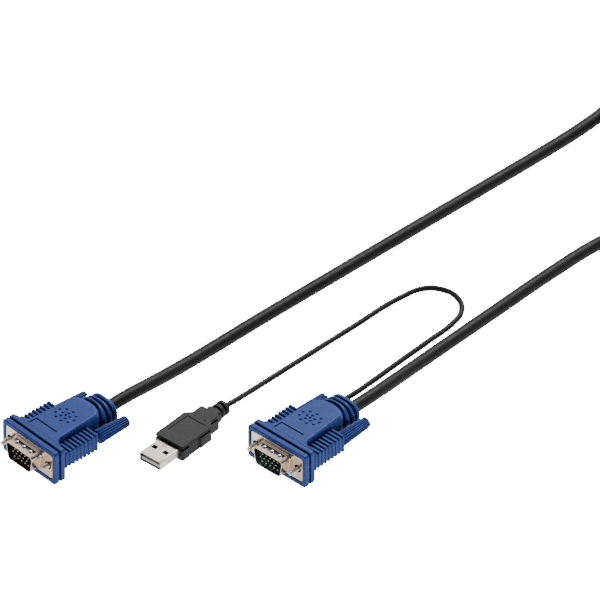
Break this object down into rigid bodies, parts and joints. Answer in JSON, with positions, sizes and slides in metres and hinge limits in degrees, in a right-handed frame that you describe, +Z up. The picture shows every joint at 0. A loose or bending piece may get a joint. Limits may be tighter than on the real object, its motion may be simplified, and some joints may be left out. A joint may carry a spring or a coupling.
{
  "type": "kvm cable",
  "caption": "KVM cable: a blue video plug with thumbscrews at each end of a long cable, a thin cord from one of them to a USB plug, and the spare length coiled.",
  "frame": {"origin": "on the floor below the middle of the box round the three plugs, cords left out", "axes": "+Z up from the floor that the plugs stand on; +Y from the second video plug's mating face towards its cable; +X to the right seen from behind the mating faces"},
  "size_m": [0.1205, 0.4418, 0.0175],
  "materials": {
    "hood_blue": "satin",
    "nickel": "satin nickel plate",
    "insulator_black": "satin",
    "insulator_teal": "gloss",
    "gold": "gold plate",
    "usb_black": "fine spark texture",
    "tongue_white": "satin",
    "cable_black": "satin",
    "tie_black": "matt woven"
  },
  "bodies": {
    "cable": {"a_hood": "hood_blue", "a_front_shell": "nickel", "a_insulator": "insulator_black", "a_pin_01": "gold", "a_pin_02": "gold", "a_pin_03": "gold", "a_pin_04": "gold", "a_pin_05": "gold", "a_pin_06": "gold", "a_pin_07": "gold", "a_pin_08": "gold", "a_pin_09": "gold", "a_pin_10": "gold", "a_pin_11": "gold", "a_pin_12": "gold", "a_pin_13": "gold", "a_pin_14": "gold", "a_pin_15": "gold", "b_hood": "hood_blue", "b_front_shell": "nickel", "b_insulator": "insulator_teal", "b_pin_01": "gold", "b_pin_02": "gold", "b_pin_03": "gold", "b_pin_04": "gold", "b_pin_05": "gold", "b_pin_06": "gold", "b_pin_07": "gold", "b_pin_08": "gold", "b_pin_09": "gold", "b_pin_10": "gold", "b_pin_11": "gold", "b_pin_12": "gold", "b_pin_13": "gold", "b_pin_14": "gold", "b_pin_15": "gold", "usb_overmould": "usb_black", "usb_shell": "nickel", "usb_tongue": "tongue_white", "usb_contact_1": "gold", "usb_contact_2": "gold", "usb_contact_3": "gold", "usb_contact_4": "gold", "cable_from_a": "cable_black", "cable_coil": "cable_black", "coil_tie": "tie_black", "cable_from_b": "cable_black", "usb_cord": "cable_black"},
    "a_left_clip": {"a_left_clip": "nickel"},
    "a_left_thumbscrew": {"a_left_screw": "nickel", "a_left_knob": "hood_blue"},
    "a_right_clip": {"a_right_clip": "nickel"},
    "a_right_thumbscrew": {"a_right_screw": "nickel", "a_right_knob": "hood_blue"},
    "b_left_clip": {"b_left_clip": "nickel"},
    "b_left_thumbscrew": {"b_left_screw": "nickel", "b_left_knob": "hood_blue"},
    "b_right_clip": {"b_right_clip": "nickel"},
    "b_right_thumbscrew": {"b_right_screw": "nickel", "b_right_knob": "hood_blue"}
  },
  "joints": [
    {"name": "a_left_float", "type": "slide", "parent": "cable", "child": "a_left_clip", "axis": [0.0837, 0.9965, 0], "range_m": [0, 0.003]},
    {"name": "a_left_spin", "type": "hinge", "parent": "a_left_clip", "child": "a_left_thumbscrew", "pos_m": [-0.05332, -0.0547, 0.00875], "axis": [0.0837, 0.9965, 0], "continuous": true},
    {"name": "a_right_float", "type": "slide", "parent": "cable", "child": "a_right_clip", "axis": [0.0837, 0.9965, 0], "range_m": [-0.0018, 0.0012]},
    {"name": "a_right_spin", "type": "hinge", "parent": "a_right_clip", "child": "a_right_thumbscrew", "pos_m": [-0.02827, -0.055, 0.00875], "axis": [0.0837, 0.9965, 0], "continuous": true},
    {"name": "b_left_float", "type": "slide", "parent": "cable", "child": "b_left_clip", "axis": [0, 1, 0], "range_m": [0, 0.003]},
    {"name": "b_left_spin", "type": "hinge", "parent": "b_left_clip", "child": "b_left_thumbscrew", "pos_m": [0.02829, 0.0162, 0.00875], "axis": [0, 1, 0], "continuous": true},
    {"name": "b_right_float", "type": "slide", "parent": "cable", "child": "b_right_clip", "axis": [0, 1, 0], "range_m": [0, 0.003]},
    {"name": "b_right_spin", "type": "hinge", "parent": "b_right_clip", "child": "b_right_thumbscrew", "pos_m": [0.05328, 0.0162, 0.00875], "axis": [0, 1, 0], "continuous": true}
  ]
}
